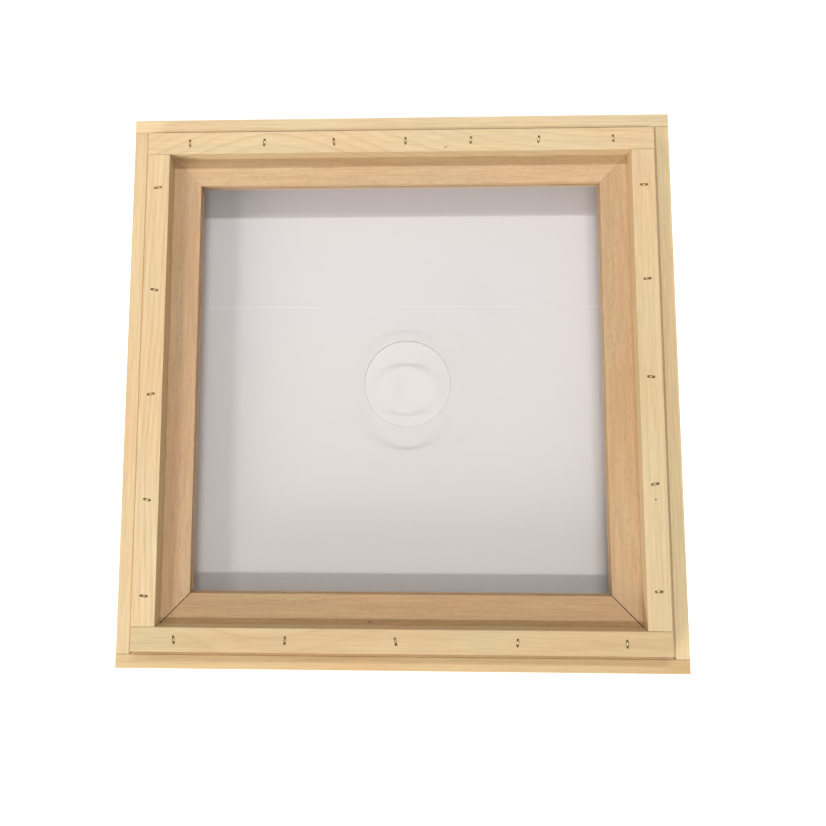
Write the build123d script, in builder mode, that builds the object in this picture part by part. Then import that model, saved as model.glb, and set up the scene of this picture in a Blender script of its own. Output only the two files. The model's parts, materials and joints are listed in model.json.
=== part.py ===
from build123d import *
from math import sqrt
import os

os.makedirs("parts", exist_ok=True)

# A square wooden tray with a clear pane for its floor. It stands on z = 0, centred on the
# Z axis, with +X to the right and +Y to the back. All sizes are in millimetres.

# Case: four boards on edge, the back and front ones running the full width
case_width = 500.0
case_depth = 500.0
case_height = 38.0
board_thickness = 12.0
board_play = 0.25  # at each end of a side board, where it butts against the long boards

# Rails: a mitred frame inside the case, grooved for the pane
rail_width = 52.5
rail_thickness = 15.0
rail_play = 0.15  # between a rail's outer edge and the case
front_mitre_gap = 0.7
back_mitre_gap = 0.1

# Strips: a raised border laid on the rails, a little way in from the case
strip_width = 20.5
strip_thickness = 16.0
strip_setback = 6.3  # from the case's inner face to a strip
strip_play = 0.3  # at the butted ends

# Pane
pane_thickness = 4.0
pane_drop = 6.0  # from the rails' top down to the pane's top
groove_depth = 8.0
groove_play = 0.15  # above and below the pane
pane_play = 1.0  # from the pane's edge to the groove's bottom
hole_diameter = 78.0
hole_offset = 7.5  # the hole's centre lies this far right of the pane's centre

# Worn and sanded edges
board_ease = 0.6
strip_ease = 0.5
rail_ease = 0.4

# Staples: flat wire bent to a narrow crown, sunk a little into the wood
crown_width = 5.8
wire_thickness = 1.0
wire_width = 1.25
staple_sink = 0.5
dent_length = 7.4  # the wood is crushed round each crown
dent_width = 2.2
dent_depth = 0.9
strip_staple_leg = 22.0
board_staple_leg = 38.0

# Mitre nails: V-shaped steel pressed up into each mitre from below
nail_leg = 6.0
nail_wall = 0.8
nail_height = 8.0
nail_shares = (0.3, 0.62)  # along each mitre, as shares of the rail's width from outside

# Staples along each strip: share of the strip's length from its middle, and turn in degrees
strip_staples = {
    "back": [(-0.416, 4), (-0.267, -3), (-0.128, 5), (0.014, 0), (0.143, -4), (0.276, -9), (0.421, 3)],
    "front": [(-0.419, 7), (-0.211, -4), (-0.006, 12), (0.218, -5), (0.417, 2)],
    "left": [(-0.439, -6), (-0.244, -12), (-0.024, 9), (0.2, -11), (0.426, 8)],
    "right": [(-0.423, 3), (-0.209, 10), (0.011, -5), (0.218, 6), (0.422, 2)],
}
rail_staple_shares = (-0.33, 0.03, 0.33)  # along each board, clear of the strips' staples
corner_staple_shares = (0.27, 0.73)  # up each corner, of the case's height

# A missed shot left one pin hole in the right strip
pin_hole_diameter = 1.3
pin_hole_depth = 6.0
pin_hole_share = -0.24

# Levels and spans that the pieces share
rail_top = case_height
rail_bottom = rail_top - rail_thickness
strip_top = rail_top + strip_thickness
pane_bottom = rail_top - pane_drop - pane_thickness
inside_width = case_width - 2 * board_thickness
inside_depth = case_depth - 2 * board_thickness
opening_width = inside_width - 2 * rail_width
opening_depth = inside_depth - 2 * rail_width
groove_width = opening_width + 2 * groove_depth
groove_length = opening_depth + 2 * groove_depth
side_board_length = inside_depth - 2 * board_play
strip_inset = board_thickness + strip_setback
side_strip_length = inside_depth - 2 * (strip_setback + strip_width + strip_play)

# Each side: the direction out of it in plan, and its board's and its strip's length
sides = {
    "back": ((0, 1), case_width, inside_width - 2 * strip_setback),
    "front": ((0, -1), case_width, inside_width - 2 * strip_setback),
    "left": ((-1, 0), side_board_length, side_strip_length),
    "right": ((1, 0), side_board_length, side_strip_length),
}
long_sides = ("back", "front")
corners = {(1, 1): 0, (-1, 1): 90, (-1, -1): 180, (1, -1): 270}  # and the turn of each


def run_of(side):
    """The axis that a side's pieces run along."""
    return Axis.X if side in long_sides else Axis.Y


def spot(side, inset, along=0.0):
    """A point in plan: inset from a side's outer face, and that far along the side."""
    (out_x, out_y), _, _ = sides[side]
    reach = (case_depth if side in long_sides else case_width) / 2 - inset
    return (out_x * reach + abs(out_y) * along, out_y * reach + abs(out_x) * along)


def plank(side, length, width, inset):
    """A rectangle in plan that runs along a side, its outer edge inset from the case's face."""
    with Locations(spot(side, inset + width / 2)):
        if side in long_sides:
            Rectangle(length, width)
        else:
            Rectangle(width, length)


def rail_outline(side):
    """A mitred rail in plan, with half of each mitre's gap taken off its ends."""
    (out_x, out_y), _, _ = sides[side]
    along_x, along_y = abs(out_y), abs(out_x)
    points = []
    for end, reach in ((-1, 0), (1, 0), (1, rail_width - rail_play), (-1, rail_width - rail_play)):
        to_x, to_y = out_x + end * along_x, out_y + end * along_y
        gap = back_mitre_gap if to_y > 0 else front_mitre_gap
        shift = end * gap / sqrt(2)
        x = to_x * (opening_width / 2 + reach) - along_x * shift
        y = to_y * (opening_depth / 2 + reach) - along_y * shift
        points.append((x, y))
    return points


def staple(leg, dent=False):
    """A staple, crown's top at z = 0 and legs down; with the dent round it, for cutting."""
    with BuildPart() as wire:
        with BuildSketch(Plane.XZ):
            Rectangle(crown_width, leg, align=(Align.CENTER, Align.MAX))
            with Locations((0, -wire_thickness)):
                Rectangle(
                    crown_width - 2 * wire_thickness,
                    leg - wire_thickness,
                    align=(Align.CENTER, Align.MAX),
                    mode=Mode.SUBTRACT,
                )
        extrude(amount=wire_width / 2, both=True)
        if dent:
            with BuildSketch(Plane.XY.offset(staple_sink - dent_depth)):
                SlotOverall(dent_length, dent_width)
            extrude(amount=dent_depth)
    return wire.part


def strip_spots(side):
    """Crowns across a strip, each with its own turn, sunk into the strip's top."""
    length = sides[side][2]
    across = 90 if side in long_sides else 0
    places = []
    for share, turn in strip_staples[side]:
        x, y = spot(side, strip_inset + strip_width / 2, share * length)
        places.append(Location((x, y, strip_top - staple_sink), (0, 0, across + turn)))
    return places


def board_spot(side, along, height):
    """A staple driven inwards through a board, its crown upright."""
    (out_x, out_y), _, _ = sides[side]
    x, y = spot(side, staple_sink, along)
    return Plane(origin=(x, y, height), x_dir=(0, 0, 1), z_dir=(out_x, out_y, 0)).location


def rail_spots(side):
    """Through a board into the rail behind it, at the rail's mid height."""
    length = sides[side][1]
    height = (rail_top + rail_bottom) / 2
    return [board_spot(side, share * length, height) for share in rail_staple_shares]


def corner_spots(side):
    """Through a long board into the end of each side board."""
    edge = (case_width - board_thickness) / 2
    places = []
    for along in (-edge, edge):
        for share in corner_staple_shares:
            places.append(board_spot(side, along, share * case_height))
    return places


def staple_group(places, leg, dent=False):
    """The same staple at each place, as separate solids."""
    with BuildPart() as group:
        with Locations(*places):
            add(staple(leg, dent))
    return group.part


# Mitre nails, each an upright V with its point on the mitre, towards the tray's corner
with BuildPart() as mitre_nails:
    with BuildSketch(Plane.XY.offset(rail_bottom)):
        for (to_x, to_y), turn in corners.items():
            for share in nail_shares:
                inset = board_thickness + share * rail_width
                x = to_x * (case_width / 2 - inset)
                y = to_y * (case_depth / 2 - inset)
                with Locations(Location((x, y, 0), (0, 0, turn))):
                    Polygon(
                        (0, 0),
                        (-nail_leg, 0),
                        (-nail_leg, -nail_wall),
                        (-nail_wall, -nail_wall),
                        (-nail_wall, -nail_leg),
                        (0, -nail_leg),
                        align=None,
                    )
    extrude(amount=nail_height)
mitre_nails.part.label = "mitre_nails"
export_step(mitre_nails.part, "parts/mitre_nails.step")

# Staples, and the slots that they make in the wood
strip_slots = {}
rail_slots = {}
corner_slots = {}
for side in sides:
    strip_group = staple_group(strip_spots(side), strip_staple_leg)
    strip_group.label = f"{side}_strip_staples"
    export_step(strip_group, f"parts/{side}_strip_staples.step")
    strip_slots[side] = staple_group(strip_spots(side), strip_staple_leg, True)

    rail_group = staple_group(rail_spots(side), board_staple_leg)
    rail_group.label = f"{side}_rail_staples"
    export_step(rail_group, f"parts/{side}_rail_staples.step")
    rail_slots[side] = staple_group(rail_spots(side), board_staple_leg, True)

for side in long_sides:
    corner_group = staple_group(corner_spots(side), board_staple_leg)
    corner_group.label = f"{side}_corner_staples"
    export_step(corner_group, f"parts/{side}_corner_staples.step")
    corner_slots[side] = staple_group(corner_spots(side), board_staple_leg, True)

# Case boards
for side, (_, length, _) in sides.items():
    with BuildPart() as board:
        with BuildSketch():
            plank(side, length, board_thickness, 0)
        extrude(amount=case_height)
        fillet(board.edges().filter_by(run_of(side)), board_ease)
        add(rail_slots[side], mode=Mode.SUBTRACT)
        for slots in corner_slots.values():
            add(slots, mode=Mode.SUBTRACT)
    board.part.label = f"{side}_board"
    export_step(board.part, f"parts/{side}_board.step")

# Rails
for side in sides:
    with BuildPart() as rail:
        with BuildSketch(Plane.XY.offset(rail_bottom)):
            Polygon(*rail_outline(side), align=None)
        extrude(amount=rail_thickness)
        lengthwise = rail.edges().filter_by(run_of(side))
        fillet(lengthwise.sort_by_distance((0, 0, rail_top))[:2], rail_ease)
        with BuildSketch(Plane.XY.offset(pane_bottom - groove_play)):
            Rectangle(groove_width, groove_length)
        extrude(amount=pane_thickness + 2 * groove_play, mode=Mode.SUBTRACT)
        add(strip_slots[side], mode=Mode.SUBTRACT)
        add(rail_slots[side], mode=Mode.SUBTRACT)
        add(mitre_nails.part, mode=Mode.SUBTRACT)
    rail.part.label = f"{side}_rail"
    export_step(rail.part, f"parts/{side}_rail.step")

# Strips
for side, (_, _, length) in sides.items():
    with BuildPart() as strip:
        with BuildSketch(Plane.XY.offset(rail_top)):
            plank(side, length, strip_width, strip_inset)
        extrude(amount=strip_thickness)
        fillet(strip.edges().filter_by(run_of(side)), strip_ease)
        add(strip_slots[side], mode=Mode.SUBTRACT)
        if side == "right":
            x, y = spot(side, strip_inset + strip_width / 2, pin_hole_share * length)
            with Locations((x, y, strip_top)):
                Hole(pin_hole_diameter / 2, pin_hole_depth)
    strip.part.label = f"{side}_strip"
    export_step(strip.part, f"parts/{side}_strip.step")

# Pane
with BuildPart() as clear_pane:
    with BuildSketch(Plane.XY.offset(pane_bottom)):
        Rectangle(groove_width - 2 * pane_play, groove_length - 2 * pane_play)
        with Locations((hole_offset, 0)):
            Circle(hole_diameter / 2, mode=Mode.SUBTRACT)
    extrude(amount=pane_thickness)
clear_pane.part.label = "clear_pane"
export_step(clear_pane.part, "parts/clear_pane.step")
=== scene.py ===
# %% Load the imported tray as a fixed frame
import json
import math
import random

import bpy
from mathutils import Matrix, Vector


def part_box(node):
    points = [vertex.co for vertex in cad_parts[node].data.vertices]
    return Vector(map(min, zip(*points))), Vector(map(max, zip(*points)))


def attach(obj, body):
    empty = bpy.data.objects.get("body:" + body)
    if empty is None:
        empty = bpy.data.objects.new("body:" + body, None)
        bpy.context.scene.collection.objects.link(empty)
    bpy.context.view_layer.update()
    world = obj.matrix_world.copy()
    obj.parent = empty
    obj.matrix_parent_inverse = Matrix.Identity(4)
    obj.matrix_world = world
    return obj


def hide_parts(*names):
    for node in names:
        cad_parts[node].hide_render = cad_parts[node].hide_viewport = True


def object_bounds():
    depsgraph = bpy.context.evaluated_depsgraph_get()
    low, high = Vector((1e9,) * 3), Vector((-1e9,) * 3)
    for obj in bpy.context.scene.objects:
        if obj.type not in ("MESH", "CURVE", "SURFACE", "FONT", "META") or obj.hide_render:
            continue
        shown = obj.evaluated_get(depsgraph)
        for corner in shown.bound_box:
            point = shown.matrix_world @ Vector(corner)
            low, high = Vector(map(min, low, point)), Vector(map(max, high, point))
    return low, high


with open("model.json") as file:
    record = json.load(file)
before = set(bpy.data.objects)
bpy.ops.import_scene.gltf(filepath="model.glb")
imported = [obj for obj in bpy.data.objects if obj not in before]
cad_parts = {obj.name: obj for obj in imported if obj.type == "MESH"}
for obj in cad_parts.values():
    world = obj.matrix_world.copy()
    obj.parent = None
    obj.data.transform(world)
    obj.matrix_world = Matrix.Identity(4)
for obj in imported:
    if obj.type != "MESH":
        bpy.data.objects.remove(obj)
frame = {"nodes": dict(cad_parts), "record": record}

# %% [markdown]
# # A glazed wooden tray
#
# The tray is four pine boards on edge, a mitred beech frame inside them, a pine border
# stapled on top, and a clear pane with a round hole. The CAD model holds every size and
# place, so this lesson adds what a drawing leaves out: grain that runs the right way in each
# stick of wood, bent wire for the staples, a polished pane, and light.

MM = 0.001
cad_low, cad_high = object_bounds()
print("tray:", [round(side / MM, 1) for side in cad_high - cad_low], "mm")


def only(thing):
    """Selects one object and nothing else, as a click on it would."""
    bpy.ops.object.select_all(action="DESELECT")
    thing.select_set(True)
    bpy.context.view_layer.objects.active = thing
    return thing


def apply_modifiers(thing):
    only(thing)
    for modifier in list(thing.modifiers):
        bpy.ops.object.modifier_apply(modifier=modifier.name)


def middle(node):
    low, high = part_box(node)
    return (low + high) / 2


# %% [markdown]
# ## Nodes without the clicking
#
# A material is a small network. Wiring one in code is easier to read when a value and a link
# are fed to a socket in the same way, so `feed` takes either, and `put` adds a node and feeds
# it in one line.

# %% Helpers for node trees
def feed(tree, socket, value):
    """Links an output socket to an input, or types a plain value into it."""
    if isinstance(value, bpy.types.NodeSocket):
        tree.links.new(value, socket)
    else:
        socket.default_value = value


def put(tree, kind, inputs=(), **settings):
    """Adds a node, sets its properties, and feeds its inputs by name or by number."""
    node = tree.nodes.new("ShaderNode" + kind)
    for name, value in settings.items():
        setattr(node, name, value)
    for socket, value in dict(inputs).items():
        feed(tree, node.inputs[socket], value)
    return node


def math_of(tree, operation, first, second=0.0, third=0.0):
    return put(tree, "Math", {0: first, 1: second, 2: third}, operation=operation).outputs[0]


def remap(tree, value, start, end, first=0.0, last=1.0):
    """Carries start to first and end to last, and holds what lies past them."""
    return put(tree, "MapRange", {0: value, 1: start, 2: end, 3: first, 4: last}).outputs[0]


def mixed(tree, factor, first, second):
    """Two colours mixed by a factor."""
    node = put(tree, "Mix", data_type="RGBA")
    feed(tree, node.inputs["Factor"], factor)
    feed(tree, node.inputs[6], first)
    feed(tree, node.inputs[7], second)
    return node.outputs[2]


def new_group(name, inputs, outputs):
    """An empty node group with named sockets, and its input and output nodes."""
    group = bpy.data.node_groups.new(name, "ShaderNodeTree")
    for socket, kind, value in inputs:
        made = group.interface.new_socket(
            name=socket, in_out="INPUT", socket_type="NodeSocket" + kind)
        if value is not None:
            made.default_value = value
    for socket, kind in outputs:
        group.interface.new_socket(name=socket, in_out="OUTPUT", socket_type="NodeSocket" + kind)
    start = group.nodes.new("NodeGroupInput")
    end = group.nodes.new("NodeGroupOutput")
    return group, start.outputs, end.inputs


def new_material(name):
    """A material with an empty tree, its output and a Principled shader."""
    material = bpy.data.materials.new(name)
    material.use_nodes = True
    tree = material.node_tree
    tree.nodes.clear()
    out = tree.nodes.new("ShaderNodeOutputMaterial")
    shader = put(tree, "BsdfPrincipled")
    tree.links.new(shader.outputs[0], out.inputs["Surface"])
    return material, tree, shader, out


# %% [markdown]
# ## Growth rings
#
# A stick of wood is cut from a tree, and its rings are shells round the tree's heart. If the
# material works out how far each point lies from that heart, the lines on the face, the edge
# and the end grain all meet at the corners, as they do in real wood. The distance is then
# bent a little along the stick, which turns straight lines into the arches of a board cut
# near the bark. Each ring darkens slowly and ends at a sharp dark line.
#
# The group works in the stick's own metres: x runs along the grain.

# %% Node group: growth rings
ARCH_SPREAD = 0.14  # metres from an arch's top to where its lines run straight again
WAVE_STRETCH = (7.0, 22.0, 22.0)  # the slow wander of the lines, along and across the stick
DARKENING = 4.0  # the higher, the later in a ring its line darkens
LINE_END = 9.0  # the higher, the sharper the line ends
FAINTEST_YEAR = 0.4


def make_ring_group():
    group, given, result = new_group(
        "growth_rings",
        [
            ("Vector", "Vector", None),
            ("Heart Y", "Float", 0.05),
            ("Heart Z", "Float", -0.06),
            ("Ring Width", "Float", 0.004),
            ("Arch", "Float", 0.0),
            ("Arch Place", "Float", 0.0),
            ("Lean", "Float", 0.0),
            ("Wander", "Float", 0.002),
            ("Seed", "Float", 0.0),
        ],
        [("Line", "Float")],
    )
    spot = put(group, "SeparateXYZ", {0: given["Vector"]}).outputs
    slow = put(
        group, "VectorMath", {0: given["Vector"], 1: WAVE_STRETCH}, operation="MULTIPLY",
    ).outputs[0]
    wave = put(
        group, "TexNoise", {"Vector": slow, "W": given["Seed"], "Scale": 1.0, "Detail": 2.0},
        noise_dimensions="4D",
    ).outputs["Fac"]
    drift = math_of(group, "MULTIPLY", math_of(group, "SUBTRACT", wave, 0.5), given["Wander"])

    along = math_of(group, "SUBTRACT", spot["X"], given["Arch Place"])
    square = math_of(group, "MULTIPLY", along, along)
    settle = math_of(group, "MULTIPLY_ADD", square, 1.0 / ARCH_SPREAD**2, 1.0)
    arch = math_of(group, "MULTIPLY", math_of(group, "DIVIDE", square, settle), given["Arch"])
    lean = math_of(group, "MULTIPLY", spot["X"], given["Lean"])
    across = math_of(group, "SUBTRACT", spot["Y"], given["Heart Y"])
    across = math_of(group, "ADD", across, math_of(group, "ADD", arch, lean))
    depth = math_of(group, "SUBTRACT", spot["Z"], given["Heart Z"])
    flat = put(group, "CombineXYZ", {"X": across, "Y": depth}).outputs[0]
    radius = put(group, "VectorMath", {0: flat}, operation="LENGTH").outputs["Value"]
    age = math_of(group, "DIVIDE", math_of(group, "ADD", radius, drift), given["Ring Width"])

    season = math_of(group, "FRACT", age)
    slow_rise = math_of(group, "POWER", season, DARKENING)
    rest = math_of(group, "SUBTRACT", 1.0, season)
    quick_fall = math_of(group, "MULTIPLY", rest, LINE_END)
    line = math_of(group, "MINIMUM", slow_rise, quick_fall)
    year = put(group, "TexWhiteNoise", {"W": math_of(group, "FLOOR", age)}, noise_dimensions="1D")
    spread = 1.0 - FAINTEST_YEAR
    strength = math_of(group, "MULTIPLY_ADD", year.outputs["Value"], spread, FAINTEST_YEAR)
    feed(group, result["Line"], math_of(group, "MULTIPLY", line, strength))
    return group


growth_rings = make_ring_group()
print("node group:", growth_rings.name)

# %% [markdown]
# ## Fibres
#
# Between the rings wood is a bundle of fine tubes. A noise squeezed across the grain and
# drawn out along it gives the hairlines that catch light after planing, and a slower one the
# bands where a stick turns from cream to pink. Beech also shows its rays: short dark flecks,
# like grains of rice.

# %% Node group: fibres and flecks
# Each output: how far its noise is squeezed along, across and through the stick, and its detail
FIBRES = {
    "Hair": ((45.0, 1150.0, 1150.0), 3.0),
    "Streak": ((26.0, 560.0, 560.0), 3.0),
    "Band": ((3.5, 110.0, 110.0), 2.0),
    "Cloud": ((9.0, 30.0, 30.0), 1.0),
    "Fleck": ((190.0, 1200.0, 1200.0), 1.0),
}
FLECK_START, FLECK_FULL = 0.54, 0.72  # the noise turns into separate flecks between these


def make_fibre_group():
    group, given, result = new_group(
        "wood_fibres",
        [("Vector", "Vector", None), ("Seed", "Float", 0.0)],
        [(name, "Float") for name in FIBRES],
    )
    for name, (stretch, detail) in FIBRES.items():
        squeezed = put(
            group, "VectorMath", {0: given["Vector"], 1: stretch}, operation="MULTIPLY",
        ).outputs[0]
        noise = put(
            group, "TexNoise",
            {"Vector": squeezed, "W": given["Seed"], "Scale": 1.0, "Detail": detail},
            noise_dimensions="4D", label=name,
        ).outputs["Fac"]
        if name == "Fleck":
            noise = remap(group, noise, FLECK_START, FLECK_FULL)
        feed(group, result[name], noise)
    return group


wood_fibres = make_fibre_group()
print("node group:", wood_fibres.name, "with", list(FIBRES))

# %% [markdown]
# ## Marks
#
# Two small things break the grain. A pin knot is the root of a twig, a brown oval dot. And
# where the gun's driver struck, the wood round each staple is crushed into a dent, which is
# painted darker: partly for the crushed fibres and partly as painted shade in the hollow. Every
# dent face lies below the stick's top and well inside its sides and ends, so a mask of depth
# finds them all.

# %% Node group: knots, and crushed wood with painted shade
KNOT_SHAPE = (0.6, 1.0, 0.1)  # drawn out along the grain, and deep
KNOT_CORE = 0.4  # share of a knot's size inside which it is darkest
SMALLEST_KNOT = 0.01 * MM  # keeps a stick without a knot from dividing by nothing
DENT_EDGE = 0.2 * MM  # below the top: the crushed wood and painted shade start
DENT_FLOOR = 0.7 * MM  # and is complete
DENT_MARGIN = 1.5 * MM  # from a stick's sides and ends, where no dent is darkened


def make_mark_group():
    group, given, result = new_group(
        "wood_marks",
        [
            ("Vector", "Vector", None),
            ("Knot Place", "Vector", None),
            ("Knot Size", "Float", 0.0),
            ("Half Size", "Vector", None),
        ],
        [("Knot", "Float"), ("Crushed And Shaded", "Float")],
    )
    given_spot, half = given["Vector"], given["Half Size"]

    away = put(
        group, "VectorMath", {0: given_spot, 1: given["Knot Place"]}, operation="SUBTRACT",
    ).outputs[0]
    oval = put(group, "VectorMath", {0: away, 1: KNOT_SHAPE}, operation="MULTIPLY").outputs[0]
    reach = put(group, "VectorMath", {0: oval}, operation="LENGTH").outputs["Value"]
    size = math_of(group, "MAXIMUM", given["Knot Size"], SMALLEST_KNOT)
    share = math_of(group, "DIVIDE", reach, size)
    feed(group, result["Knot"], remap(group, share, 1.0, KNOT_CORE))

    reach = put(group, "VectorMath", {0: given_spot}, operation="ABSOLUTE").outputs[0]
    inset = put(group, "VectorMath", {0: half, 1: reach}, operation="SUBTRACT").outputs[0]
    inset = put(group, "SeparateXYZ", {0: inset}).outputs
    nearest = math_of(group, "MINIMUM", inset["X"], inset["Y"])
    inside = math_of(group, "GREATER_THAN", nearest, DENT_MARGIN)
    top = put(group, "SeparateXYZ", {0: half}).outputs["Z"]
    height = put(group, "SeparateXYZ", {0: given_spot}).outputs["Z"]
    depth = math_of(group, "SUBTRACT", top, height)
    below = remap(group, depth, DENT_EDGE, DENT_FLOOR)
    feed(group, result["Crushed And Shaded"], math_of(group, "MULTIPLY", below, inside))
    return group


wood_marks = make_mark_group()
print("node group:", wood_marks.name)

# %% [markdown]
# ## One stick, one tree
#
# Every board, rail and strip gets its own cut of the tree. A Mapping node puts the stick's
# middle at zero and turns its length to x, so the same settings suit all four sides. Pine is
# cream with soft honey lines. Beech is tan with a blush, almost no rings and many flecks.

# %% Wood materials
PINE = {
    "early": (0.655, 0.525, 0.315, 1.0),
    "late": (0.490, 0.330, 0.150, 1.0),
    "blush": (0.670, 0.492, 0.285, 1.0),
    "streak": 0.20,
    "fleck": 0.0,
    "gloss": 0.52,
}
BEECH = {
    "early": (0.540, 0.375, 0.220, 1.0),
    "late": (0.410, 0.255, 0.125, 1.0),
    "blush": (0.560, 0.355, 0.200, 1.0),
    "streak": 0.50,
    "fleck": 0.75,
    "gloss": 0.50,
}
KNOT_BROWN = (0.16, 0.07, 0.025, 1.0)
KNOT_STRENGTH = 0.8
# Dents round the staples are painted this brown: partly crushed fibres, partly painted shade in
# the hollow
CRUSHED_AND_SHADED_BROWN = (0.13, 0.08, 0.03, 1.0)
CRUSHED_AND_SHADED_STRENGTH = 0.7
BAND_LIGHT = (0.93, 1.05)  # darkest and lightest band
HAIR_LIGHT = (0.90, 1.07)  # darkest and lightest hairline
NOISE_LOW, NOISE_HIGH = 0.3, 0.7  # nearly all of a noise lies between these
BLUSH_START, BLUSH_FULL = 0.42, 0.66
SHEEN_CHANGE = 0.12  # a ring's line is smoother by this, a raised fibre rougher
GRAIN_DEPTH = 0.12 * MM
FIBRE_SEED = 3.7  # so that the fibres don't follow the rings


def half_size(node, along_y):
    """Half of a stick's length, width and height."""
    low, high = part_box(node)
    half = (high - low) / 2
    return Vector((half.y, half.x, half.z)) if along_y else half


def wood(node, kind, tint, seed, line_depth, rings, knot):
    """A wood finish for one stick. rings and knot are as in the tables below."""
    material, tree, shader, _ = new_material(f"wood_{node}")
    along_y = node.startswith(("left", "right"))
    place = put(tree, "TexCoord").outputs["Object"]
    centred = put(tree, "VectorMath", {0: place, 1: middle(node)}, operation="SUBTRACT").outputs[0]
    turn = (0.0, 0.0, -math.pi / 2 if along_y else 0.0)
    stick = put(tree, "Mapping", {"Vector": centred, "Rotation": turn}).outputs[0]

    heart_y, heart_z, width, arch, arch_place, lean, wander = rings
    ring = {
        "Vector": stick,
        "Heart Y": heart_y * MM,
        "Heart Z": heart_z * MM,
        "Ring Width": width * MM,
        "Arch": arch,
        "Arch Place": arch_place * MM,
        "Lean": lean,
        "Wander": wander * MM,
        "Seed": seed,
    }
    line = put(tree, "Group", ring, node_tree=growth_rings).outputs["Line"]
    line = math_of(tree, "MULTIPLY", line, line_depth)

    threads = {"Vector": stick, "Seed": seed + FIBRE_SEED}
    fibre = put(tree, "Group", threads, node_tree=wood_fibres).outputs

    # Only the strips have dents on top. A half size of nothing turns the mask off.
    knot_x, knot_y, knot_size = (value * MM for value in knot)
    spots = {
        "Vector": stick,
        "Knot Place": (knot_x, knot_y, 0.0),
        "Knot Size": knot_size,
        "Half Size": half_size(node, along_y) if node.endswith("strip") else Vector(),
    }
    marks = put(tree, "Group", spots, node_tree=wood_marks).outputs

    def tinted(colour):
        return tuple(channel * part for channel, part in zip(colour, tint)) + (1.0,)

    late = tinted(kind["late"])
    blush = remap(tree, fibre["Cloud"], BLUSH_START, BLUSH_FULL)
    streak = remap(tree, fibre["Streak"], NOISE_HIGH, NOISE_LOW, 0.0, kind["streak"])
    fleck = math_of(tree, "MULTIPLY", fibre["Fleck"], kind["fleck"])
    knot_mask = math_of(tree, "MULTIPLY", marks["Knot"], KNOT_STRENGTH)
    # Crushed fibres and painted shade darken the dents round the staples
    crushed_and_shaded = math_of(tree, "MULTIPLY", marks["Crushed And Shaded"], CRUSHED_AND_SHADED_STRENGTH)
    colour = mixed(tree, blush, tinted(kind["early"]), tinted(kind["blush"]))
    for mask, shade in (
        (streak, late), (line, late), (fleck, late),
        (knot_mask, KNOT_BROWN), (crushed_and_shaded, CRUSHED_AND_SHADED_BROWN),
    ):
        colour = mixed(tree, mask, colour, shade)
    band = remap(tree, fibre["Band"], NOISE_LOW, NOISE_HIGH, *BAND_LIGHT)
    hair = remap(tree, fibre["Hair"], NOISE_LOW, NOISE_HIGH, *HAIR_LIGHT)
    light = math_of(tree, "MULTIPLY", band, hair)
    colour = put(tree, "VectorMath", {0: colour, 1: light}, operation="MULTIPLY").outputs[0]
    feed(tree, shader.inputs["Base Color"], colour)

    rough = math_of(tree, "MULTIPLY_ADD", line, -SHEEN_CHANGE, kind["gloss"])
    rough = math_of(tree, "MULTIPLY_ADD", fibre["Hair"], SHEEN_CHANGE, rough)
    feed(tree, shader.inputs["Roughness"], rough)
    height = math_of(tree, "MULTIPLY_ADD", line, 0.5, fibre["Hair"])
    bump = put(tree, "Bump", {"Height": height, "Strength": 0.25, "Distance": GRAIN_DEPTH})
    feed(tree, shader.inputs["Normal"], bump.outputs[0])
    return material


def finish_node(node, material):
    """Gives a CAD node its finish, in place of the plain one."""
    mesh = frame["nodes"][node].data
    mesh.materials.clear()
    mesh.materials.append(material)


# Kind, tint, seed and depth of the ring lines. Then the rings: heart Y, heart Z and ring width
# in mm, arch, arch place in mm, lean, and wander in mm.
# Besides each stick's own tone, the tints hold painted shade: the front sticks are tinted darker
# and warmer, where less light reaches them
STICKS = {
    "back_board": (PINE, (1.12, 1.16, 1.20), 0.10, 0.45, (160, -45, 3.2, 0.0, 0, 0.004, 3.0)),
    "front_board": (PINE, (0.88, 0.83, 0.73), 0.20, 0.55, (60, -80, 5.0, 0.25, 60, 0.0, 6.0)),
    "left_board": (PINE, (0.95, 0.95, 0.95), 0.30, 0.35, (-150, -30, 3.4, 0.0, 0, 0.003, 2.5)),
    "right_board": (PINE, (1.08, 1.10, 1.08), 0.40, 0.50, (120, -60, 3.0, 0.0, 0, -0.006, 3.0)),
    "back_strip": (PINE, (0.98, 0.99, 1.00), 0.55, 0.75, (-60, -70, 6.5, 5.0, -115, 0.0, 5.0)),
    "front_strip": (PINE, (0.84, 0.84, 0.80), 0.65, 0.70, (-40, -60, 5.5, -4.0, -120, 0.05, 7.0)),
    "left_strip": (PINE, (1.00, 1.00, 1.00), 0.75, 0.90, (110, -40, 4.6, 0.6, -60, 0.01, 8.0)),
    "right_strip": (PINE, (0.97, 0.97, 0.97), 0.85, 0.40, (130, -30, 4.4, 0.0, 0, 0.008, 3.0)),
    "back_rail": (BEECH, (1.05, 1.09, 1.10), 1.1, 0.25, (90, -80, 7.0, 0.1, 80, 0.01, 6.0)),
    "front_rail": (BEECH, (0.92, 0.90, 0.80), 1.2, 0.30, (70, -70, 6.0, 0.2, -60, 0.015, 7.0)),
    "left_rail": (BEECH, (0.99, 0.99, 0.99), 1.3, 0.25, (-80, -90, 7.0, 0.1, 0, 0.01, 6.0)),
    "right_rail": (BEECH, (0.94, 0.96, 0.93), 1.4, 0.25, (-90, -70, 8.0, 0.1, 50, -0.01, 6.0)),
}
SEED_STEP = 17.0  # keeps the sticks' noises far apart
KNOTS = {"back_strip": (43.0, -6.5, 1.5), "front_rail": (-26.0, 2.8, 1.6)}  # x, y, size in mm
NO_KNOT = (0.0, 0.0, 0.0)
for node, (kind, tint, seed, line_depth, rings) in STICKS.items():
    knot = KNOTS.get(node, NO_KNOT)
    finish_node(node, wood(node, kind, tint, seed * SEED_STEP, line_depth, rings, knot))
print("wooden sticks finished:", len(STICKS))
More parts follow.
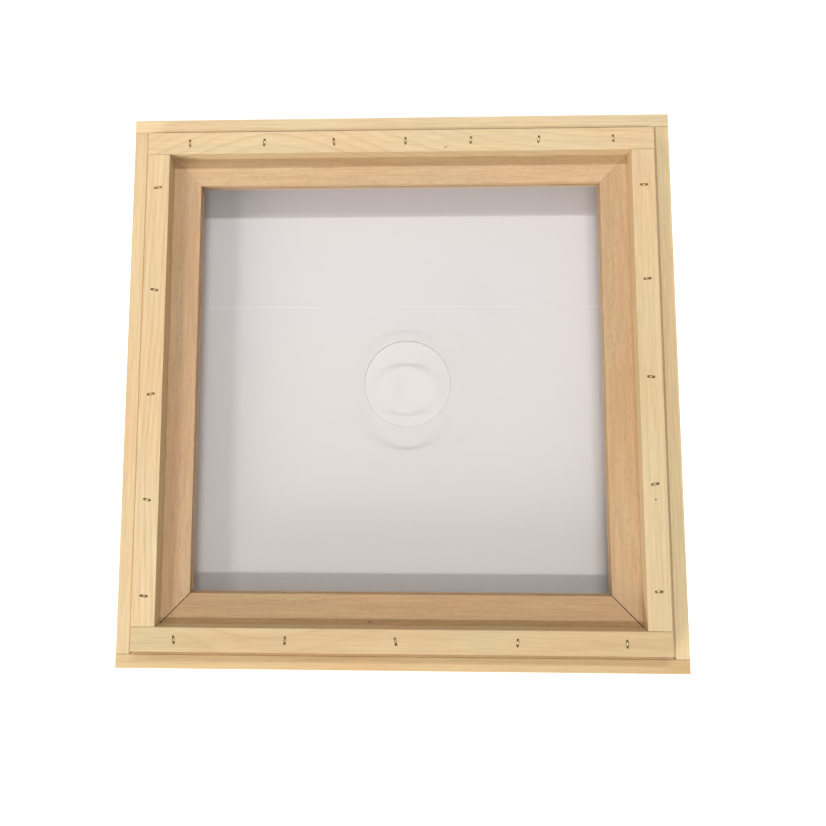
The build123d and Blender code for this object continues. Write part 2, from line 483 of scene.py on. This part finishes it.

# %% [markdown]
# ## Staple wire and nail steel
#
# The staples are flat steel wire with a yellow lacquer, which looks like dull brass. A
# highlight is painted bright on top of the crown, and painted shade keeps the bends dark, where
# the wire sits down in the wood. The mesh will carry that painted glint as a value at each
# corner, so the highlight stays on the crown whichever way a staple is turned. The mitre nails
# are plain steel strip.

# %% Metal materials
# On the staples BRASSY is a painted highlight on the crown and BRASSY_DARK painted shade at the
# bends
BRASSY = (0.82, 0.66, 0.32, 1.0)
BRASSY_DARK = (0.13, 0.09, 0.04, 1.0)
STEEL = (0.56, 0.56, 0.57, 1.0)
STEEL_DARK = (0.30, 0.29, 0.28, 1.0)
SCRATCH_DEPTH = 0.03 * MM


def metal(name, bright, dark, painted_glint, lacquer, roughness, grain):
    """The fourth argument names the mesh value that says where a highlight is painted on the
    metal, or is empty.
    """
    material, tree, shader, _ = new_material(name)
    place = put(tree, "TexCoord").outputs["Object"]
    blotch = put(tree, "TexNoise", {"Vector": place, "Scale": grain, "Detail": 3.0}).outputs["Fac"]
    # Random blotches of tone; on the staples a mesh value also paints a highlight on the crown and
    # shade at the bends
    blotch_and_glint = remap(tree, blotch, 0.35, 0.6, 0.4, 1.0)
    if painted_glint:
        glint_mask = put(tree, "Attribute", attribute_name=painted_glint).outputs["Fac"]
        blotch_and_glint = math_of(tree, "MULTIPLY", blotch_and_glint, glint_mask)
    feed(tree, shader.inputs["Base Color"], mixed(tree, blotch_and_glint, dark, bright))
    feed(tree, shader.inputs["Metallic"], 1.0 - lacquer)
    feed(tree, shader.inputs["Roughness"], math_of(tree, "MULTIPLY_ADD", blotch_and_glint, -0.15, roughness))
    scratch = put(tree, "TexNoise", {"Vector": place, "Scale": grain * 6.0}).outputs["Fac"]
    bump = put(tree, "Bump", {"Height": scratch, "Strength": 0.2, "Distance": SCRATCH_DEPTH})
    feed(tree, shader.inputs["Normal"], bump.outputs[0])
    return material


staple_wire = metal("staple_wire", BRASSY, BRASSY_DARK, "painted_glint", 0.5, 0.45, 400.0)
nail_steel = metal("nail_steel", STEEL, STEEL_DARK, "", 0.0, 0.45, 500.0)
finish_node("mitre_nails", nail_steel)
print("metals:", staple_wire.name, nail_steel.name)

# %% [markdown]
# ## Where the staples sit
#
# The CAD model holds each row of staples as one node. Its solids are told apart first, and the
# top of each crown then gives the place and the turn for a bent staple, and the foot of its
# legs how long they are.

# %% Find each staple's seat
FACE_TOLERANCE = 0.05 * MM
OUTWARD = {
    "back": Vector((0, 1, 0)), "front": Vector((0, -1, 0)),
    "left": Vector((-1, 0, 0)), "right": Vector((1, 0, 0)),
}
UP = Vector((0, 0, 1))


def top_face_of(points, out):
    """The corners of a solid that lie furthest along the direction out."""
    reach = max(point.dot(out) for point in points)
    return [point for point in points if point.dot(out) > reach - FACE_TOLERANCE]


def loose_solids(node):
    """The separate solids of a CAD node, each as a list of its corners."""
    mesh = frame["nodes"][node].data
    corner_of = {}
    home = {}
    for vertex in mesh.vertices:
        key = tuple(round(value, 6) for value in vertex.co)
        corner_of[vertex.index] = home.setdefault(key, vertex.index)
    parent = {index: index for index in home.values()}

    def root(index):
        while parent[index] != index:
            index = parent[index]
        return index

    for edge in mesh.edges:
        first, second = (root(corner_of[end]) for end in edge.vertices)
        parent[first] = second
    groups = {}
    for index in parent:
        groups.setdefault(root(index), []).append(mesh.vertices[index].co.copy())
    return list(groups.values())


def staple_seats(node, out):
    """Where each staple of a node sits: its crown's middle, x along the crown, z out."""
    seats = []
    for points in loose_solids(node):
        face = top_face_of(points, out)
        centre = sum(face, Vector()) / len(face)
        corner = face[0]
        # The crown's long edge joins the corner to its second nearest neighbour
        spans = sorted(((other - corner) for other in face[1:]), key=lambda span: span.length)
        along = spans[1].normalized()
        side = out.cross(along).normalized()
        turn = Matrix((along, side, out)).transposed().to_4x4()
        depth = max((point - centre).dot(-out) for point in points)
        seats.append((Matrix.Translation(centre) @ turn, depth))
    return sorted(seats, key=lambda seat: tuple(seat[0].translation))


print("seats in the back strip:", len(staple_seats("back_strip_staples", UP)))

# %% [markdown]
# ## A bent staple
#
# The CAD staple is square cut. A real one is wire that was bent twice, so its corners are
# round outside, its crown is bowed a little, and its feet are cut to a chisel. It is modelled
# the way it is made: the wire's section is pushed up one leg, spun round the bend, drawn across
# the crown, spun again and pushed down the other leg.

# %% Model one staple
CROWN = 5.8 * MM
WIRE_THICK = 1.0 * MM
WIRE_WIDE = 1.25 * MM
BEND = 1.25 * MM  # outside radius of each bend
CROWN_RUN = CROWN - 2 * BEND  # the straight part of the crown
CHISEL_SLOPE = 1.2
BOW = ((0.6, 0.10 * MM), (0.25, 0.12 * MM))  # reach from the middle as a share, and lift
SOFTENING = 0.16 * MM
GLINT_REACH = 0.42 * CROWN  # from the middle to where the crown's painted highlight ends


def push(x, z):
    """Draws the wire's open end on in a straight line."""
    bpy.ops.mesh.extrude_region_move(TRANSFORM_OT_translate={"value": (x, 0.0, z)})


def bend(side):
    """Spins the wire's open end round the left bend, side -1, or the right one, side 1."""
    bpy.ops.mesh.spin(
        steps=5, angle=-math.pi / 2,
        center=(side * (CROWN / 2 - BEND), 0.0, -BEND), axis=(0.0, 1.0, 0.0),
    )


def pick(thing, wanted):
    """In edit mode, selects the corners whose place is wanted, and nothing else."""
    bpy.ops.object.mode_set(mode="OBJECT")
    for part in (thing.data.polygons, thing.data.edges, thing.data.vertices):
        part.foreach_set("select", [False] * len(part))
    for vertex in thing.data.vertices:
        vertex.select = wanted(vertex.co)
    bpy.ops.object.mode_set(mode="EDIT")


def model_staple(leg):
    """One staple with its crown's top at zero, its legs down and its crown along x."""
    bpy.ops.mesh.primitive_plane_add(size=1.0, location=(-CROWN / 2 + WIRE_THICK / 2, 0.0, -leg))
    staple = bpy.context.object
    staple.scale = (WIRE_THICK, WIRE_WIDE, 1.0)
    bpy.ops.object.transform_apply(location=True, scale=True)
    bpy.ops.object.mode_set(mode="EDIT")
    bpy.ops.mesh.select_all(action="SELECT")
    push(0.0, leg - BEND)
    bend(-1)
    for _ in range(3):
        push(CROWN_RUN / 3, 0.0)
    bend(1)
    push(0.0, -(leg - BEND))
    bpy.ops.mesh.select_all(action="SELECT")
    bpy.ops.mesh.remove_doubles(threshold=0.01 * MM)
    bpy.ops.mesh.normals_make_consistent(inside=False)

    # The chisel: each foot is cut off aslant, one leg at a time
    for side in (-1, 1):
        bpy.ops.mesh.select_all(action="SELECT")
        bpy.ops.mesh.bisect(
            plane_co=(side * (CROWN / 2 - WIRE_THICK), 0.0, -leg),
            plane_no=(side * CHISEL_SLOPE, 0.0, -1.0),
            use_fill=True, clear_outer=True,
        )
    # The bow: the crown's straight part is lifted, and its middle a little more
    for reach, lift in BOW:
        pick(staple, lambda spot: spot.z > -leg / 2 and abs(spot.x) < reach * CROWN_RUN)
        bpy.ops.transform.translate(value=(0.0, 0.0, lift))
    bpy.ops.object.mode_set(mode="OBJECT")
    soften = staple.modifiers.new("soften", "BEVEL")
    soften.width = SOFTENING
    soften.segments = 2
    soften.limit_method = "ANGLE"
    apply_modifiers(staple)
    bpy.ops.object.shade_smooth_by_angle(angle=math.radians(50))

    # The painted highlight: bright on top of the crown's middle, fading to painted shade towards
    # the bends
    painted_glint = staple.data.attributes.new("painted_glint", "FLOAT", "POINT")
    for vertex in staple.data.vertices:
        bright = max(0.0, 1.0 - abs(vertex.co.x) / GLINT_REACH)
        painted_glint.data[vertex.index].value = bright if vertex.co.z > -WIRE_THICK else 0.0
    return staple


print("wire:", round(WIRE_THICK / MM, 2), "x", round(WIRE_WIDE / MM, 2), "mm, crown",
      round(CROWN / MM, 2), "mm")

# %% [markdown]
# ## Rows of staples
#
# No gun drives two staples alike, so each is rocked by up to a degree and a half and sits up
# to a tenth of a millimetre high or low. The random numbers start from the row's name, which
# gives the same row every time.

# %% Fill every seat
MOST_ROCK = 1.5  # degrees
MOST_LIFT = 0.1  # mm


def staple_row(node, out):
    """Bent staples at the seats of a CAD node, joined as one piece that stands for it."""
    random.seed(node)
    copies = []
    seats = staple_seats(node, out)
    master = model_staple(seats[0][1])
    for seat, _ in seats:
        copy = master.copy()
        copy.data = master.data.copy()
        bpy.context.scene.collection.objects.link(copy)
        angle = math.radians(random.uniform(-MOST_ROCK, MOST_ROCK))
        lift = Vector((0.0, 0.0, random.uniform(-MOST_LIFT, MOST_LIFT) * MM))
        copy.data.transform(seat @ Matrix.Translation(lift) @ Matrix.Rotation(angle, 4, "X"))
        copies.append(copy)
    bpy.data.objects.remove(master)
    bpy.ops.object.select_all(action="DESELECT")
    for copy in copies:
        copy.select_set(True)
    bpy.context.view_layer.objects.active = copies[0]
    bpy.ops.object.join()
    row = bpy.context.object
    row.name = "bent_" + node
    row.data.materials.clear()
    row.data.materials.append(staple_wire)
    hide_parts(node)
    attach(row, "root")
    heights = [round(vertex.co.z / MM, 1) for vertex in row.data.vertices]
    print(row.name, len(seats), "of them, from", min(heights), "to", max(heights), "mm up")


for side, out in OUTWARD.items():
    staple_row(f"{side}_strip_staples", UP)
    staple_row(f"{side}_rail_staples", out)
for side in ("back", "front"):
    staple_row(f"{side}_corner_staples", OUTWARD[side])

# %% [markdown]
# ## The pane
#
# The pane is clear acrylic sheet. A sheet without softened edges has no highlight to show
# where it ends, so it is cut as a blank with a modifier for the hole and a fine bevel. Its
# faces are polished, while its sawn edges are frosted, and the hole's edge throws a thin ring
# of shade.

# %% Acrylic materials
CLEAR = (1.0, 1.0, 1.0, 1.0)
CLEAR_SHADE = (0.985, 0.985, 0.985, 1.0)
SAWN = (0.55, 0.53, 0.51, 1.0)
SAWN_SHADE = (0.28, 0.28, 0.28, 1.0)
ACRYLIC_IOR = 1.49
SMEAR_ROUGHNESS = 0.015  # added where the plastic is smeared


def acrylic(name, tint, roughness, shade):
    """Clear plastic. Light that only passes through is let by, dimmed to shade."""
    material, tree, shader, out = new_material(name)
    place = put(tree, "TexCoord").outputs["Object"]
    smear = put(tree, "TexNoise", {"Vector": place, "Scale": 14.0, "Detail": 4.0}).outputs["Fac"]
    rough = remap(tree, smear, 0.45, 0.75, roughness, roughness + SMEAR_ROUGHNESS)
    feed(tree, shader.inputs["Base Color"], tint)
    feed(tree, shader.inputs["Roughness"], rough)
    feed(tree, shader.inputs["IOR"], ACRYLIC_IOR)
    feed(tree, shader.inputs["Transmission Weight"], 1.0)
    clear = put(tree, "BsdfTransparent", {"Color": shade})
    ray = put(tree, "LightPath").outputs
    passing = math_of(tree, "MAXIMUM", ray["Is Shadow Ray"], ray["Is Diffuse Ray"])
    mix = put(tree, "MixShader", {0: passing, 1: shader.outputs[0], 2: clear.outputs[0]})
    feed(tree, out.inputs["Surface"], mix.outputs[0])
    return material


clear_acrylic = acrylic("clear_acrylic", CLEAR, 0.0, CLEAR_SHADE)
cut_acrylic = acrylic("cut_acrylic", SAWN, 0.35, SAWN_SHADE)
print("acrylics:", clear_acrylic.name, cut_acrylic.name)

# %% Model the pane
POLISH = 0.35 * MM  # width of the bevel
UPRIGHT = 0.97  # a polished face's normal has at least this much of z
hole = next(mount for mount in frame["record"]["mounts"] if mount["name"] == "pane_hole")
hole_radius = hole["dims"]["r_mm"] * MM
hole_centre = Vector(hole["pos_m"])
pane_low, pane_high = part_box("clear_pane")
pane_size = pane_high - pane_low
pane_middle = middle("clear_pane")

bpy.ops.object.select_all(action="DESELECT")
bpy.ops.mesh.primitive_cube_add(size=1.0, location=pane_middle)
pane = bpy.context.object
pane.name = "polished_pane"
pane.scale = pane_size
bpy.ops.object.transform_apply(location=True, scale=True)
bpy.ops.mesh.primitive_cylinder_add(
    vertices=128, radius=hole_radius, depth=4 * pane_size.z,
    location=(hole_centre.x, hole_centre.y, pane_middle.z),
)
drill = bpy.context.object
bore = pane.modifiers.new("bore", "BOOLEAN")
bore.operation = "DIFFERENCE"
bore.solver = "EXACT"
bore.object = drill
polish = pane.modifiers.new("polish", "BEVEL")
polish.width = POLISH
polish.segments = 2
polish.limit_method = "ANGLE"
polish.angle_limit = math.radians(40)
apply_modifiers(pane)
bpy.data.objects.remove(drill)
pane.data.materials.append(clear_acrylic)
pane.data.materials.append(cut_acrylic)
for face in pane.data.polygons:
    if abs(face.normal.z) < UPRIGHT:
        face.material_index = 1
bpy.ops.object.shade_smooth_by_angle(angle=math.radians(10))
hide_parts("clear_pane")
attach(pane, "root")
print("pane faces:", len(pane.data.polygons), "and hole:", round(2 * hole_radius / MM, 1), "mm")

# %% [markdown]
# ## Floor, lamps and camera
#
# The tray lies on a pale bench under four ceiling tubes, with a window to the left in front. A
# sheet of paper under it, crossed by one thin seam, shows through the pane a shade darker than
# the bench, and in front of the seam it turns darker still towards the front: partly the
# paper's own tone and partly painted shade. The bench glows faintly, so it stays pale where
# little light falls.

# %% Floor and paper
SHADING_BACK, SHADING_FRONT = 0.08, -0.16  # y in metres, where a sheet's colour turns; on the paper the darker front is partly painted shade
BENCH = (0.93, 0.93, 0.93, 1.0)
BENCH_GLOW = 0.35
BACK_PAPER = (0.640, 0.622, 0.637, 1.0)
FRONT_PAPER = (0.605, 0.590, 0.580, 1.0)
PAPER_SIZE = 0.47
SEAM = (0.725, 0.710, 0.715, 1.0)
SEAM_WIDTH = 0.8 * MM
SEAM_Y = 0.0755


def flat_sheet(name, size_x, size_y, height, y, back_colour, front_colour, glow=0.0):
    """A sheet on the bench that turns from one colour at its back to another at its front."""
    bpy.ops.object.select_all(action="DESELECT")
    bpy.ops.mesh.primitive_plane_add(size=1.0, location=(0.0, y, height))
    sheet = bpy.context.object
    sheet.name = name
    sheet.scale = (size_x, size_y, 1.0)
    bpy.ops.object.transform_apply(location=True, scale=True)
    material, tree, shader, _ = new_material(name)
    place = put(tree, "TexCoord").outputs["Object"]
    along = put(tree, "SeparateXYZ", {0: place}).outputs["Y"]
    front = remap(tree, along, SHADING_BACK, SHADING_FRONT)
    feed(tree, shader.inputs["Base Color"], mixed(tree, front, back_colour, front_colour))
    feed(tree, shader.inputs["Roughness"], 0.9)
    feed(tree, shader.inputs["Emission Color"], (1.0, 1.0, 1.0, 1.0))
    feed(tree, shader.inputs["Emission Strength"], glow)
    sheet.data.materials.append(material)
    return sheet


sheets = [
    flat_sheet("bench", 8.0, 8.0, -0.4 * MM, 0.0, BENCH, BENCH, BENCH_GLOW),
    flat_sheet("paper", PAPER_SIZE, PAPER_SIZE, 0.1 * MM, 0.0, BACK_PAPER, FRONT_PAPER),
    flat_sheet("paper_seam", PAPER_SIZE, SEAM_WIDTH, 0.3 * MM, SEAM_Y, SEAM, SEAM),
]
print("under the tray:", [sheet.name for sheet in sheets])

# %% Lamps
TUBE_LIGHT = (1.0, 0.98, 0.96)
WINDOW_LIGHT = (1.0, 0.92, 0.84)
ROOM_LIGHT = (1.0, 0.93, 0.88, 1.0)
ROOM_STRENGTH = 0.36
LAMPS = {
    # name: (place in metres, power in watts, length along x, width)
    "back_tube": ((0.15, 1.42, 2.20), 26.5, 1.00, 0.10),
    "front_tube": ((0.20, -0.88, 2.20), 17.0, 1.00, 0.10),
    "left_front_tube": ((-1.90, -0.98, 2.20), 13.0, 0.70, 0.16),
    "left_back_tube": ((-1.96, 1.20, 2.20), 15.0, 0.70, 0.16),
    "window": ((-2.10, -2.80, 1.25), 92.0, 2.00, 1.00),
}
for name, (spot, power, length, width) in LAMPS.items():
    light = bpy.data.lights.new(name, "AREA")
    light.shape = "RECTANGLE"
    light.size = length
    light.size_y = width
    light.energy = power
    lamp = bpy.data.objects.new(name, light)
    lamp.location = spot
    if name == "window":  # it faces the tray
        light.color = WINDOW_LIGHT
        lamp.rotation_euler = (-lamp.location).to_track_quat("-Z", "Y").to_euler()
    else:  # a tube hangs level along x and is only tipped towards the bench
        light.color = TUBE_LIGHT
        lamp.rotation_euler = (-math.atan2(spot[1], spot[2]), 0.0, 0.0)
    bpy.context.scene.collection.objects.link(lamp)

world = bpy.data.worlds.new("studio")
world.use_nodes = True
background = world.node_tree.nodes["Background"].inputs
background["Color"].default_value = ROOM_LIGHT
background["Strength"].default_value = ROOM_STRENGTH
bpy.context.scene.world = world
bpy.context.scene.view_settings.view_transform = "Standard"
print("lamps:", list(LAMPS), "and room light", ROOM_STRENGTH)

# %% Camera
EYE_HEIGHT = 0.7244  # metres above the tray's top
EYE_TURN = (6.811, 2.066, 0.041)  # degrees
camera_data = bpy.data.cameras.new("camera")
camera = bpy.data.objects.new("camera", camera_data)
bpy.context.scene.collection.objects.link(camera)
camera_data.sensor_width = 36.0
camera_data.lens = 35.69
camera_data.shift_x = 0.0286
camera_data.shift_y = -0.0950
camera.location = Vector((0.018, -0.044, cad_high.z + EYE_HEIGHT))
camera.rotation_euler = [math.radians(angle) for angle in EYE_TURN]
bpy.context.scene.camera = camera
print("camera:", [round(value, 3) for value in camera.location], "m")
